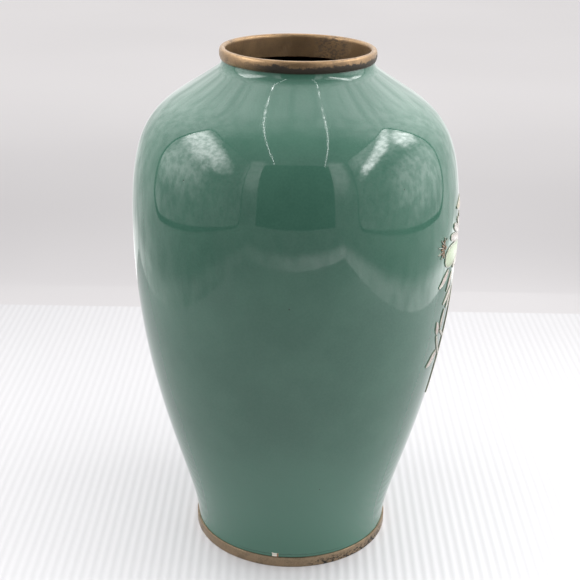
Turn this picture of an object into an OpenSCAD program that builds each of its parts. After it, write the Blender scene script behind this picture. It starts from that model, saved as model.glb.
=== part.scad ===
// Cloisonne vase: a spun copper vessel enamelled inside and out, with bronze mounts at the
// mouth and foot and a raised flowering spray of silver wire and enamel on one side.
// Millimetres, +Z up. The origin is the centre of the foot's underside.

/* [Overall] */
// Height from the foot's underside to the top of the lip
vase_h = 230; // [190:1:280]

/* [Body outline] */
// Diameter of the green enamel at its widest
belly_d = 144.1; // [118:0.1:176]
// Height of the widest place
belly_z = 152.7; // [125:0.1:178]
// Diameter of the green enamel just above the foot ring
waist_d = 90.4; // [74:0.1:110]
// Share of the lower side's height over which the waist stays upright
waist_hold = 0.155; // [0.05:0.005:0.25]
// Share of the lower side's height over which the belly stays upright
belly_hold_low = 0.527; // [0.3:0.001:0.6]
// Share of the upper side's height over which the belly stays upright
belly_hold_high = 0.76; // [0.5:0.01:0.85]
// Diameter where the shoulder turns up into the neck
neck_root_d = 72.3; // [66:0.1:90]
// Depth of that place below the lip
neck_root_drop = 10.1; // [9.5:0.1:14]
// Slope of the shoulder at that place, in degrees above level
shoulder_slope = 34; // [25:1:45]
// Reach of the shoulder's slope, measured along it
shoulder_pull = 29; // [15:1:36]

/* [Walls] */
// Thickness of the copper
copper_t = 0.7; // [0.5:0.1:1.2]
// Thickness of the green enamel
enamel_t = 0.6; // [0.4:0.1:0.9]
// Thickness of the dark enamel inside
lining_t = 0.4; // [0.3:0.1:0.6]

/* [Mouth rim] */
// Bore of the throat
throat_d = 61.6; // [50:0.1:64]
// Wall of the sleeve inside the neck
sleeve_t = 0.5; // [0.4:0.1:0.8]
// Height of the sleeve, from its lower end to the top of the lip
sleeve_h = 10; // [8:0.1:12]
// Height of the band outside, from its lower edge to the top of the lip
band_h = 5; // [4:0.1:6]
// How far the band's lower edge stands out from the copper
band_t = 0.9; // [0.7:0.1:1.4]
// How far the lip stands out from the copper
lip_t = 1.55; // [1.2:0.05:2]
// Metal left between the copper's edge and the top of the lip
lip_cover = 1.7; // [1.2:0.1:2.5]

/* [Foot] */
// How far the foot ring stands out from the enamel
foot_proud = 0.6; // [0.3:0.1:1.2]
// Height of the foot ring
foot_h = 4.8; // [4:0.1:7]
// Width of the foot ring's inner part, inside the copper
foot_flange_w = 1.4; // [1:0.1:3]
// Metal under the copper's lower edge
foot_sole_t = 2; // [1.5:0.1:3]
// Thickness of the base disc
base_t = 0.8; // [0.6:0.1:1.2]
// Thickness of the enamel under the base disc
base_enamel_t = 0.5; // [0.3:0.1:0.8]
// Height of the base disc's underside
base_z = 5; // [4.5:0.1:7]

/* [Spray] */
// Turn of the whole spray about the vase, in degrees
spray_turn = 0; // [-180:1:180]
// Width of a silver wire
wire_w = 0.28; // [0.2:0.01:0.5]
// How far a wire stands out from the green enamel
wire_h = 0.45; // [0.3:0.05:0.8]
// How far a cell stands out at its wires
cell_edge_h = 0.3; // [0.2:0.05:0.6]
// How far a cell stands out at its middle
cell_crown_h = 0.5; // [0.4:0.05:1]

/* [Hidden] */
$fn = 128;

// Points on each long curve of the outline, and on each small one
long_steps = 22;
small_steps = 6;
// Stations along a cell, along a stem, and along a spike of the heart
cell_steps = 5;
stem_steps = 11;
spike_steps = 2;
// Belly and height of the vase that the spray's rows are drawn for
spray_drawn_d = 144.1;
spray_drawn_h = 230;

belly_r = belly_d / 2;
waist_r = waist_d / 2;
wall_t = enamel_t + copper_t;
throat_r = throat_d / 2;
neck_inner_r = throat_r + sleeve_t;
neck_outer_r = neck_inner_r + copper_t;
neck_r = neck_outer_r + enamel_t;
neck_root_r = neck_root_d / 2;
neck_root_z = vase_h - neck_root_drop;
band_z = vase_h - band_h;
sleeve_z = vase_h - sleeve_h;
copper_top_z = vase_h - lip_cover;
foot_r = waist_r + foot_proud;
foot_inner_r = waist_r - wall_t - foot_flange_w;
base_top_z = base_z + base_t;
spray_scale = [belly_d / spray_drawn_d, vase_h / spray_drawn_h];
mm_per_degree = PI * belly_r / 180;
drawn_mm_per_degree = mm_per_degree / spray_scale[0];
// Wires and gaps aren't scaled, so cells drawn beside them leave this much more room
wire_room = 1 / min(spray_scale);

// ---- Curves -------------------------------------------------------------------------------

// Point at share t along a cubic curve with four handles
function bezier(c, t) =
    c[0] * pow(1 - t, 3) + 3 * c[1] * pow(1 - t, 2) * t + 3 * c[2] * (1 - t) * t * t + c[3] * t * t * t;

// Direction of that curve at t
function bezier_way(c, t) =
    let (d = (c[1] - c[0]) * pow(1 - t, 2) + 2 * (c[2] - c[1]) * (1 - t) * t + (c[3] - c[2]) * t * t)
    d / norm(d);

// A quarter turn clockwise: from the way up an outline to the way out of it
function right_of(d) = [d[1], -d[0]];

function backwards(list) = [for (i = [len(list) - 1:-1:0]) list[i]];

// ---- Body outline -------------------------------------------------------------------------

lower_rise = belly_z - foot_h;
upper_rise = neck_root_z - belly_z;
slope_way = [-cos(shoulder_slope), sin(shoulder_slope)];
neck_pull = (band_z - neck_root_z) / 2;

lower_side = [
    [waist_r, foot_h],
    [waist_r, foot_h + waist_hold * lower_rise],
    [belly_r, belly_z - belly_hold_low * lower_rise],
    [belly_r, belly_z]];
shoulder = [
    [belly_r, belly_z],
    [belly_r, belly_z + belly_hold_high * upper_rise],
    [neck_root_r, neck_root_z] - shoulder_pull * slope_way,
    [neck_root_r, neck_root_z]];
neck = [
    [neck_root_r, neck_root_z],
    [neck_root_r, neck_root_z] + neck_pull * slope_way,
    [neck_r, band_z - neck_pull],
    [neck_r, band_z]];

// Points of one curve, moved in from the enamel's face by depth; the first point is left out
function side_points(c, steps, depth) =
    [for (i = [1:steps]) bezier(c, i / steps) - depth * right_of(bezier_way(c, i / steps))];

// The wall's outline from the foot ring to the shoulder's end
function body_outline(depth) = concat(
    [[waist_r - depth, foot_h]],
    side_points(lower_side, long_steps, depth),
    side_points(shoulder, long_steps, depth));

// The same, up to the band of the mouth rim
function full_outline(depth) = concat(body_outline(depth), side_points(neck, small_steps, depth));

enamel_face = full_outline(0);
face_table = [for (p = enamel_face) [p[1], p[0]]];
function face_radius(z) = lookup(z, face_table);

// ---- Vessel -------------------------------------------------------------------------------

module copper_body() {
    color("chocolate") rotate_extrude() polygon(concat(
        [[waist_r - enamel_t, foot_sole_t]],
        full_outline(enamel_t),
        [[neck_outer_r, copper_top_z], [neck_inner_r, copper_top_z]],
        backwards(full_outline(wall_t)),
        [[waist_r - wall_t, foot_sole_t]]));
}

module ground_enamel() {
    color("seagreen") rotate_extrude()
        polygon(concat(enamel_face, backwards(full_outline(enamel_t))));
}

module base_plate() {
    color("chocolate") translate([0, 0, base_z]) cylinder(h = base_t, r = waist_r - wall_t);
}

module base_counter_enamel() {
    color("darkslategray") translate([0, 0, base_z - base_enamel_t])
        cylinder(h = base_enamel_t, r = foot_inner_r);
}

// Dark lining of the floor and the wall, up to where the neck begins
module inner_counter_enamel() {
    lining_z = base_top_z + lining_t;
    outside = [for (p = body_outline(wall_t)) if (p[1] > lining_z) p];
    inside = [for (p = body_outline(wall_t + lining_t)) if (p[1] > lining_z) p];
    color("black") rotate_extrude() polygon(concat(
        [[0, base_top_z], [waist_r - wall_t, base_top_z]],
        outside,
        backwards(inside),
        [[waist_r - wall_t - lining_t, lining_z], [0, lining_z]]));
}

// Channel ring over the neck's edge: a band outside, a lip, and a sleeve inside
module mouth_rim() {
    band_r = neck_outer_r + band_t;
    lip_r = neck_outer_r + lip_t;
    lip_mid_r = (throat_r + lip_r) / 2;
    lip_z = vase_h - band_h / 2;
    throat_z = vase_h - lip_cover;
    band_face = [[band_r, band_z], [band_r + lip_t / 4, band_z + band_h / 8],
        [lip_r, lip_z - band_h / 5], [lip_r, lip_z]];
    lip_outside = [[lip_r, lip_z], [lip_r, vase_h - band_h / 6], [lip_r - lip_t / 4, vase_h],
        [lip_mid_r, vase_h]];
    lip_inside = [[lip_mid_r, vase_h], [lip_mid_r - lip_t / 2, vase_h],
        [throat_r, vase_h - lip_cover / 4], [throat_r, throat_z]];
    color("peru") rotate_extrude() polygon(concat(
        [[neck_outer_r, copper_top_z], [neck_outer_r, band_z], [band_r, band_z]],
        side_points(band_face, small_steps, 0),
        side_points(lip_outside, small_steps, 0),
        side_points(lip_inside, small_steps, 0),
        [[throat_r, sleeve_z], [neck_inner_r, sleeve_z], [neck_inner_r, copper_top_z]]));
}

// Channel ring under the wall: a flange inside the copper carries the base disc
module foot_ring() {
    bevel = 0.3;
    color("peru") rotate_extrude() polygon([
        [foot_inner_r, bevel], [foot_inner_r + bevel, 0],
        [foot_r - 2 * bevel, 0], [foot_r, 2 * bevel],
        [foot_r, foot_h - bevel], [foot_r - bevel, foot_h],
        [waist_r - enamel_t, foot_h], [waist_r - enamel_t, foot_sole_t],
        [waist_r - wall_t, foot_sole_t], [waist_r - wall_t, base_z],
        [foot_inner_r, base_z]]);
}

// ---- Spray --------------------------------------------------------------------------------
// Rows are drawn in degrees round the vase and millimetres up it.

// Blooms: the middle of each, the angle between neighbouring petals, and where petals start
open_bloom = [[5.5, 146], 8, 11.2];
open_bloom_front = [[5.5, 146], 18, 11.2];
open_bloom_throat = [[5.5, 146], 24, 3.4];
full_bloom = [[33, 170], 20, 5.6];
// Petals of the open bloom: direction, then how far the tip is from the middle
open_petals = [[191, 30], [165, 38], [157, 35], [149, 29], [141, 23], [133, 19.5], [125, 17.5],
    [117, 16], [109, 15], [101, 14.3], [93, 14], [85, 14.2], [77, 14.6], [69, 15.2], [61, 15.8],
    [53, 16.5], [45, 17], [37, 17.5], [29, 17.5]];
full_petals = [for (i = [0:17]) [20 * i + 10, i % 2 == 0 ? 15.5 : 14.5]];
// Pale green-cream petals: one long one in front, and a short row inside
long_throat_petals = [[178, 42.3]];
short_throat_petals = [for (i = [0:6]) [24 * i + 36, 9.6]];

// Buds, leaves and cups: base, tip, half width, and how far the middle bows to the right
bud_rows = [
    [[3.4, 163.2], [-16.3, 166.4], 2.8, 0.6],
    [[14.5, 175.2], [9.5, 192], 2.5, 0.9],
    [[50.5, 148.6], [62, 157.5], 2.4, 1]];
leaf_rows = [
    [[-24, 141.1], [-31, 135.6], 1.3, -0.4],
    [[-18.8, 138.2], [-23.4, 131.2], 1.2, -0.3],
    [[-17.4, 130.4], [-25, 125.6], 1.1, -0.3],
    [[-16.6, 126.6], [-20.6, 122.2], 0.9, -0.2],
    [[-23.6, 113.8], [-22.6, 122], 1, -0.4],
    [[-26.4, 111.8], [-28.6, 118.2], 1.4, 0.3],
    [[-22.8, 101.8], [-30.4, 97.2], 1.9, -0.5],
    [[1.2, 128.9], [22.6, 124.4], 2.2, -1.8],
    [[-9, 117.6], [12, 113.5], 2.2, -1.8],
    [[-12.6, 104.6], [9, 101.5], 2.4, -1.8],
    [[-14.2, 91.8], [6, 87], 2.3, -1.6],
    [[28, 128.6], [44.5, 121.6], 2.1, -1.5],
    [[33, 134.8], [41, 148], 1.8, 1.2]];
cup_rows = [
    [[10.8, 140], [6.6, 145], 2.1, 0],
    [[8.4, 161.7], [4, 162.9], 1.1, 0],
    [[15.7, 171], [14.9, 173.8], 1.2, 0],
    [[48, 145.4], [50, 148], 1.2, 0]];
// Stems and twigs: four handles each, then the half width
stem_rows = [
    [[-17, 77.5], [-15.5, 98], [-17, 126], [10.6, 138.3], 0.55],
    [[-17.8, 98.4], [-19.5, 100.4], [-24, 105.5], [-26.2, 110.4], 0.45],
    [[-15.8, 106.3], [-18.5, 108.4], [-21.5, 110.4], [-23.3, 112.4], 0.35],
    [[10, 134.6], [19, 133.4], [29, 140], [31.7, 153], 0.5],
    [[19.6, 133.2], [27, 129.6], [43, 131], [47.3, 144], 0.35],
    [[26.6, 146.4], [25, 156], [18, 161.5], [9.3, 161.9], 0.35],
    [[18.8, 161], [17, 163], [16.2, 166.6], [15.9, 169.9], 0.35]];
// Hearts: the middle, the directions of the orange-brown lobes, how far from the middle they
// start and end, and their half width
side_heart = [[-28.8, 153.2], [120, 150, 180, 210, 240], 1.4, 4.4, 0.6];
full_heart = [[33, 170], [for (i = [0:9]) 36 * i], 1.5, 4.6, 0.6];
// Radius of the round boss in the middle of a heart
heart_boss_r = 1.05;
// Wires that stand out of the open bloom's heart: direction and reach
heart_spikes = [[75, 4.2], [105, 5.4], [135, 6.4], [165, 7.2], [195, 6.8], [225, 5.8], [255, 4.6]];
// Where such a wire starts, and the room left between neighbouring petals
spike_start = 3.1;
petal_gap = 0.1;

// From a row's place to millimetres on the unrolled vase as drawn, to the same at the vase's own
// size, and from there onto its face
function unrolled(p) = [p[0] * drawn_mm_per_degree, p[1]];
function at_size(q) = [q[0] * spray_scale[0], q[1] * spray_scale[1]];
function on_face(q, lift) =
    let (turn = q[0] / mm_per_degree + spray_turn, r = face_radius(q[1]) + lift)
    [r * cos(turn), r * sin(turn), q[1]];

// Middle lines: of a row with a bow, of a stem, and of a straight piece that leaves a middle
function bowed_line(row) =
    let (a = unrolled(row[0]), b = unrolled(row[1]))
    let (out = right_of((b - a) / norm(b - a)) * row[3] * 4 / 3)
    [a, a + (b - a) / 3 + out, a + (b - a) * 2 / 3 + out, b];
function stem_line(row) = [for (i = [0:3]) unrolled(row[i])];
function ray_line(middle, angle, from, to) =
    let (m = unrolled(middle), way = [cos(angle), sin(angle)])
    [m + way * from, m + way * (2 * from + to) / 3, m + way * (from + 2 * to) / 3, m + way * to];

// Half widths from end to end: pointed, cupped, even with short ends, or round
function leaf_widths(half) = [for (i = [0:cell_steps])
    half * (0.12 + 0.88 * sin(180 * pow(i / cell_steps, 0.85)))];
function cup_widths(half) = [for (i = [0:cell_steps])
    half * (0.45 + 0.55 * sin(160 * i / cell_steps))];
function stem_widths(half) = [for (i = [0:stem_steps])
    half * (0.6 + 0.4 * min(1, 8 * i / stem_steps, 8 * (1 - i / stem_steps)))];
function boss_widths(half) = [for (i = [0:cell_steps])
    half * max(0.3, sin(180 * i / cell_steps))];
// A petal fills its share of the circle between its neighbours, and its tip is round
function petal_widths(spread, from, to) = [for (i = [0:cell_steps])
    let (t = i / cell_steps, reach = from + (to - from) * t)
    let (round = t < 0.6 ? 1 : sqrt(1 - 0.96 * pow((t - 0.6) / 0.4, 2)))
    (reach * tan(spread / 2) - (wire_w + petal_gap / 2) * wire_room) * round];

// Cross stations of a cell, at the vase's own size: left edge, middle, right edge
function stations(line, widths) =
    let (n = len(widths) - 1)
    [for (i = [0:n])
        let (m = bezier(line, i / n), out = right_of(bezier_way(line, i / n)) * widths[i])
        [at_size(m - out), at_size(m), at_size(m + out)]];

function petal_cells(bloom, petals) = [for (p = petals)
    stations(ray_line(bloom[0], p[0], bloom[2], p[1]), petal_widths(bloom[1], bloom[2], p[1]))];
function lobe_cells(heart) = [for (angle = heart[1])
    stations(ray_line(heart[0], angle, heart[2], heart[3]), leaf_widths(heart[4]))];
function boss_cell(heart) =
    stations(ray_line(heart[0], 0, -heart_boss_r, heart_boss_r), boss_widths(heart_boss_r));

bloom_cells = concat(petal_cells(open_bloom, open_petals), petal_cells(full_bloom, full_petals));
throat_cells = concat(petal_cells(open_bloom_front, long_throat_petals),
    petal_cells(open_bloom_throat, short_throat_petals));
stamen_cells = concat(lobe_cells(side_heart), lobe_cells(full_heart),
    [boss_cell(side_heart), boss_cell(full_heart)]);
bud_cells = [for (row = bud_rows) stations(bowed_line(row), leaf_widths(row[2]))];
leaf_cells = [for (row = leaf_rows) stations(bowed_line(row), leaf_widths(row[2]))];
calyx_cells = [for (row = cup_rows) stations(bowed_line(row), cup_widths(row[2]))];
stem_cells = [for (row = stem_rows) stations(stem_line(row), stem_widths(row[4]))];

// The cell's edge, all the way round
function edge_loop(st) = concat([for (s = st) s[0]], backwards([for (s = st) s[2]]));

// Faces between rings of k points, joined end to end or closed by a fan at both ends
function ring_faces(rings, k, joined) = concat(
    [for (i = [0:(joined ? rings - 1 : rings - 2)], j = [0:k - 1])
        let (a = i * k, b = ((i + 1) % rings) * k, m = (j + 1) % k)
        each [[a + j, b + j, b + m], [a + j, b + m, a + m]]],
    joined ? [] : [for (j = [0:k - 3], e = [0, (rings - 1) * k])
        e == 0 ? [k - 1, j, j + 1] : [e + k - 1, e + j + 1, e + j]]);

// Crowned cells of enamel between their wires
module cells(list) {
    for (st = list) {
        rings = [for (s = st)
            each [on_face(s[0], 0), on_face(s[0], cell_edge_h), on_face(s[1], cell_crown_h),
                on_face(s[2], cell_edge_h), on_face(s[2], 0), on_face(s[1], 0)]];
        polyhedron(points = rings, faces = ring_faces(len(st), 6, false));
    }
}

// Flat wires on edge, each round the outside of a cell
module loops(list) {
    for (st = list) {
        loop = edge_loop(st);
        n = len(loop);
        rings = [for (i = [0:n - 1])
            let (before = loop[(i + n - 1) % n], here = loop[i], after = loop[(i + 1) % n])
            let (w1 = (here - before) / norm(here - before), w2 = (after - here) / norm(after - here))
            let (out = -right_of(w1 + w2) / norm(w1 + w2))
            let (far = here + out * wire_w / max(0.7, out * -right_of(w1)))
            each [on_face(far, 0), on_face(far, wire_h), on_face(here, wire_h), on_face(here, 0)]];
        polyhedron(points = rings, faces = ring_faces(n, 4, true));
    }
}

// Plain wires that stand out of the open bloom's heart, between its lobes
module spikes() {
    for (s = heart_spikes) {
        st = stations(ray_line(side_heart[0], s[0], spike_start, s[1]),
            [for (i = [0:spike_steps]) wire_w / 2 * wire_room]);
        rings = [for (s = st) each [on_face(s[0], 0), on_face(s[0], wire_h), on_face(s[2], wire_h),
            on_face(s[2], 0)]];
        polyhedron(points = rings, faces = ring_faces(len(st), 4, false));
    }
}

module petal_enamel() { color("mistyrose") cells(bloom_cells); }
module petal_wires() { color("silver") loops(bloom_cells); }
module throat_enamel() { color("lemonchiffon") cells(throat_cells); }
module throat_wires() { color("silver") loops(throat_cells); }
module stamen_enamel() { color("sienna") cells(stamen_cells); }
module stamen_wires() { color("silver") spikes(); }
module bud_enamel() { color("burlywood") cells(bud_cells); }
module bud_wires() { color("silver") loops(bud_cells); }
module leaf_enamel() { color("lavenderblush") cells(leaf_cells); }
module leaf_wires() { color("silver") loops(leaf_cells); }
module calyx_enamel() { color("olivedrab") cells(calyx_cells); }
module calyx_wires() { color("silver") loops(calyx_cells); }
module stem_enamel() { color("tan") cells(stem_cells); }
module stem_wires() { color("silver") loops(stem_cells); }

copper_body();
base_plate();
mouth_rim();
foot_ring();
ground_enamel();
inner_counter_enamel();
base_counter_enamel();
petal_enamel();
petal_wires();
throat_enamel();
throat_wires();
stamen_enamel();
stamen_wires();
bud_enamel();
bud_wires();
leaf_enamel();
leaf_wires();
calyx_enamel();
calyx_wires();
stem_enamel();
stem_wires();
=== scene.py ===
import logging
import math
from bisect import bisect_left
from collections.abc import Callable, Iterable, Sequence
from dataclasses import dataclass, field
from enum import Enum

import bmesh
import bpy
from mathutils import Euler, Matrix, Vector


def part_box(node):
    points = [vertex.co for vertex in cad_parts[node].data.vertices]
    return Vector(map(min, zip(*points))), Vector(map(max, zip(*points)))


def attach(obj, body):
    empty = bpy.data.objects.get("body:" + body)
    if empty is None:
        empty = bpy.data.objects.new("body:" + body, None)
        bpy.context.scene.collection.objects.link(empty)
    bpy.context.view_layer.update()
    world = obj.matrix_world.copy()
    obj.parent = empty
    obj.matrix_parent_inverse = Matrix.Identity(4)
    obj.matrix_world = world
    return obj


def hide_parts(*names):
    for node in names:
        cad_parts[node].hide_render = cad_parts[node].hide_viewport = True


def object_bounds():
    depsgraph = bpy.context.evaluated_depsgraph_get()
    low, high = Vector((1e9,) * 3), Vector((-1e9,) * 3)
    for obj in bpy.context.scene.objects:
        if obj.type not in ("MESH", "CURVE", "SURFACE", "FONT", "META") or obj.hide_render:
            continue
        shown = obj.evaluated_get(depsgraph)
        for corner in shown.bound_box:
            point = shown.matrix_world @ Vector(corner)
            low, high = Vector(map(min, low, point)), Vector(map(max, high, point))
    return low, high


LOG = logging.getLogger("cloisonne_vase")
MM = 0.001
ROOT = "root"
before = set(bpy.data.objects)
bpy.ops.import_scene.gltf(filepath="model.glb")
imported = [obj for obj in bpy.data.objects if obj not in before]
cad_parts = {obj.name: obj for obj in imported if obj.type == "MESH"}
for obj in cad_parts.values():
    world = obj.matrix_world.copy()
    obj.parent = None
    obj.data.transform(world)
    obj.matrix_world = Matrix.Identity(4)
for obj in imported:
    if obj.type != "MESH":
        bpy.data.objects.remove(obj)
CAD_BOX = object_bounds()

Colour = tuple[float, float, float, float]
Span = tuple[float, float]
BMesh = bmesh.types.BMesh
Material = bpy.types.Material
Width = Callable[[float], float]

# Sizes that several pieces share.
ENAMEL_T = 0.6 * MM
COPPER_T = 0.7 * MM
FOOT_STEP = 0.6 * MM
SIDES = 224
# How near two points are when they touch, and when they are one point.
TOUCH = 0.01 * MM
SAME = 0.0001 * MM
# Stands for a crowned top in place of a level one's lift.
CROWNED = -1.0
PLAIN_WHITE: Colour = (1.0, 1.0, 1.0, 1.0)
STUDIO_WHITE: Colour = (1.0, 0.99, 0.995, 1.0)


def linear(red: int, green: int, blue: int) -> Colour:
    """Turns a colour as a screen names it into linear light.

    Args:
        red: 0 to 255.
        green: 0 to 255.
        blue: 0 to 255.

    Returns:
        The colour in linear light, with full alpha.
    """
    def one(level: int) -> float:
        """Undoes the screen's curve for one channel."""
        share = level / 255
        return share / 12.92 if share <= 0.04045 else ((share + 0.055) / 1.055) ** 2.4

    return one(red), one(green), one(blue), 1.0


# ---- Shader maths ----------------------------------------------------------------------------


def operator(operation: str, swapped: bool = False) -> Callable[["Link", "Link | float"], "Link"]:
    """Makes the method of Link that stands for a Python operator.

    Args:
        operation: the Math node's operation.
        swapped: True if the link comes second.

    Returns:
        The method, which adds the Math node.
    """
    def method(self: "Link", other: "Link | float") -> "Link":
        """Adds a Math node on the link and the other value."""
        return self.maths(operation, *((other, self) if swapped else (self, other)))

    return method


@dataclass(frozen=True)
class Link:
    """The output of a node, on which maths is written as a Python expression."""

    shader: "Shader"
    socket: bpy.types.NodeSocket

    __add__ = operator("ADD")
    __sub__ = operator("SUBTRACT")
    __rsub__ = operator("SUBTRACT", swapped=True)
    __mul__ = operator("MULTIPLY")
    __truediv__ = operator("DIVIDE")
    __pow__ = operator("POWER")
    larger = operator("MAXIMUM")

    def maths(self, operation: str, *values: "Link | float") -> "Link":
        """Adds a Math node of that operation on the values."""
        return self.shader.node("ShaderNodeMath", {"operation": operation}, dict(enumerate(values)))

    def __abs__(self) -> "Link":
        """Drops the sign."""
        return self.maths("ABSOLUTE", self)

    def wave(self, pitch: float) -> "Link":
        """Gives a sine, from -1 to 1, that repeats at each pitch."""
        return self.maths("SINE", self * (math.tau / pitch))

    def rise(self, low: float, high: float) -> "Link":
        """Climbs smoothly from 0 at low to 1 at high, and stays inside 0 and 1.

        Args:
            low: where the climb starts; it may lie above high for a fall.
            high: where it ends.

        Returns:
            The climb's share.
        """
        return self.shader.node("ShaderNodeMapRange", {"interpolation_type": "SMOOTHSTEP"},
                                {"Value": self, "From Min": low, "From Max": high})


class Shader:
    """A material under construction: its node tree, its surface shader and its coordinates."""

    def __init__(self, name: str, emission_only: bool = False) -> None:
        """Starts a material.

        Args:
            name: the material's name.
            emission_only: True for a card that only glows.
        """
        self.material = bpy.data.materials.new(name)
        self.material.use_nodes = True
        self.tree = self.material.node_tree
        self.tree.nodes.clear()
        kind = "ShaderNodeEmission" if emission_only else "ShaderNodeBsdfPrincipled"
        self.surface = self.tree.nodes.new(kind)
        output = self.tree.nodes.new("ShaderNodeOutputMaterial")
        self.tree.links.new(self.surface.outputs[0], output.inputs["Surface"])
        self.place = self.node("ShaderNodeTexCoord", output="Object")

    def node(self, kind: str, settings: dict | None = None, inputs: dict | None = None,
             output: str | int = 0) -> Link:
        """Adds a node.

        Args:
            kind: the node's type.
            settings: its own settings, set first.
            inputs: values or links for its sockets, by name or number.
            output: which output to hand back.

        Returns:
            That output.
        """
        made = self.tree.nodes.new(kind)
        for name, value in (settings or {}).items():
            setattr(made, name, value)
        for name, value in (inputs or {}).items():
            self._feed(made.inputs[name], value)
        return Link(self, made.outputs[output])

    def set(self, **sockets: "Link | float | Colour") -> None:
        """Feeds the surface shader's sockets, named with underscores for spaces."""
        for name, value in sockets.items():
            self._feed(self.surface.inputs[name.replace("_", " ")], value)

    def axes(self, place: Link | None = None) -> tuple[Link, ...]:
        """Gives X, Y and Z of the point being shaded, or of other coordinates."""
        split = self.node("ShaderNodeSeparateXYZ", inputs={0: place or self.place})
        return tuple(Link(self, output) for output in split.socket.node.outputs)

    def around(self) -> tuple[Link, Link]:
        """Gives the distance from the vase's axis and the height."""
        x, y, z = self.axes()
        return (x * x + y * y) ** 0.5, z

    def noise(self, size: float, detail: float = 2.0, place: Link | None = None,
              contrast: Span | None = None) -> Link:
        """Adds a noise.

        Args:
            size: rough size of a patch, in metres.
            detail: how many finer layers lie on it.
            place: coordinates to read, or the object's own.
            contrast: the noise levels that become 0 and 1, if it is to be spread.

        Returns:
            The noise, from 0 to 1.
        """
        made = self.node("ShaderNodeTexNoise", inputs={
            "Vector": place or self.place, "Scale": 1 / size, "Detail": detail, "Roughness": 0.55})
        return made.rise(*contrast) if contrast else made

    def specks(self, spacing: float, radius: float) -> Link:
        """Scatters small round specks: 1 in a speck and 0 outside it.

        Args:
            spacing: mean distance between specks, in metres.
            radius: their radius, in metres.

        Returns:
            The specks' mask.
        """
        gap = self.node("ShaderNodeTexVoronoi", inputs={"Vector": self.place, "Scale": 1 / spacing},
                        output="Distance")
        return gap.rise(radius / spacing, 0.5 * radius / spacing)

    def stretched(self, scale: Sequence[float]) -> Link:
        """Gives the object's coordinates, each multiplied by its own number."""
        return self.node("ShaderNodeMapping", inputs={"Vector": self.place, "Scale": tuple(scale)})

    def joined(self, x: "Link | float", y: "Link | float", z: "Link | float") -> Link:
        """Joins three values into coordinates."""
        return self.node("ShaderNodeCombineXYZ", inputs={0: x, 1: y, 2: z})

    def gap_to(self, point: Vector) -> Link:
        """Gives the distance from the point being shaded to a place on the piece."""
        return self.node("ShaderNodeVectorMath", {"operation": "DISTANCE"},
                         {0: self.place, 1: tuple(point)}, output="Value")

    def mix(self, share: "Link | float", below: "Link | Colour", above: "Link | Colour") -> Link:
        """Mixes two colours: all below at share 0 and all above at share 1."""
        return self.node("ShaderNodeMix", {"data_type": "RGBA", "clamp_factor": True},
                         {0: share, 6: below, 7: above}, output=2)

    def bump(self, height: Link, depth: float, below: Link | None = None) -> Link:
        """Raises the surface by height, from 0 to 1, times a depth in metres."""
        inputs: dict = {"Height": height, "Distance": depth, "Strength": 1.0}
        if below:
            inputs["Normal"] = below
        return self.node("ShaderNodeBump", inputs=inputs)

    def _feed(self, socket: bpy.types.NodeSocket, value: "Link | float | Colour") -> None:
        """Links a socket or sets its value."""
        if isinstance(value, Link):
            self.tree.links.new(value.socket, socket)
        else:
            socket.default_value = value


# ---- Finishes --------------------------------------------------------------------------------


@dataclass(frozen=True)
class Blemish:
    """A mark on the vase's face: which way it lies, how high, and how far it reaches."""

    turn: float
    height: float
    reach: float


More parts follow.
